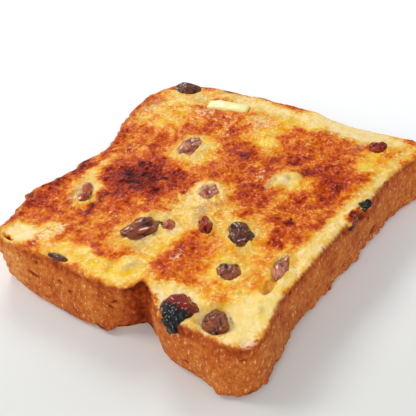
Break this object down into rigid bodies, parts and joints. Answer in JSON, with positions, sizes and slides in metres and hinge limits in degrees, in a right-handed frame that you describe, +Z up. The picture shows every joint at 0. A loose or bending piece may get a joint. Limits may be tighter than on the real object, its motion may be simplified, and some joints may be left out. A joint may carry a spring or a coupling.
{
  "type": "raisin toast",
  "caption": "Thick toasted slice of tin-baked raisin bread, lying flat: risen top, cleft at one side, raisins set in the face, underside and crust, and a melting stick of butter.",
  "frame": {"origin": "on the underside near the middle of the slice, in the plane that it rests on", "axes": "+Z up out of the toasted face, +Y from the loaf's flat base edge to its risen top, +X to the right as the toasted face is seen with the risen top up"},
  "size_m": [0.1143, 0.1052, 0.02],
  "materials": {
    "bread": "toasted crumb with a browned crust, stood in for by a matt solid",
    "raisin": "dark wrinkled raisin skin with a soft gloss",
    "butter": "pale butter, glossy where it melts"
  },
  "bodies": {
    "root": {"bread": "bread", "butter": "butter", "raisin_base_far": "raisin", "raisin_broad": "raisin", "raisin_charred": "raisin", "raisin_chip": "raisin", "raisin_corner": "raisin", "raisin_dark": "raisin", "raisin_dome_rim": "raisin", "raisin_far": "raisin", "raisin_lobe_foot": "raisin", "raisin_lobe_rim": "raisin", "raisin_long": "raisin", "raisin_mid": "raisin", "raisin_red": "raisin", "raisin_rim_sliver": "raisin", "raisin_scorched": "raisin", "raisin_slim": "raisin", "raisin_torn": "raisin", "raisin_under_1": "raisin", "raisin_under_2": "raisin", "raisin_under_3": "raisin", "raisin_under_4": "raisin", "raisin_under_5": "raisin", "raisin_under_6": "raisin", "raisin_wall_dome": "raisin", "raisin_wall_side": "raisin"}
  },
  "joints": []
}
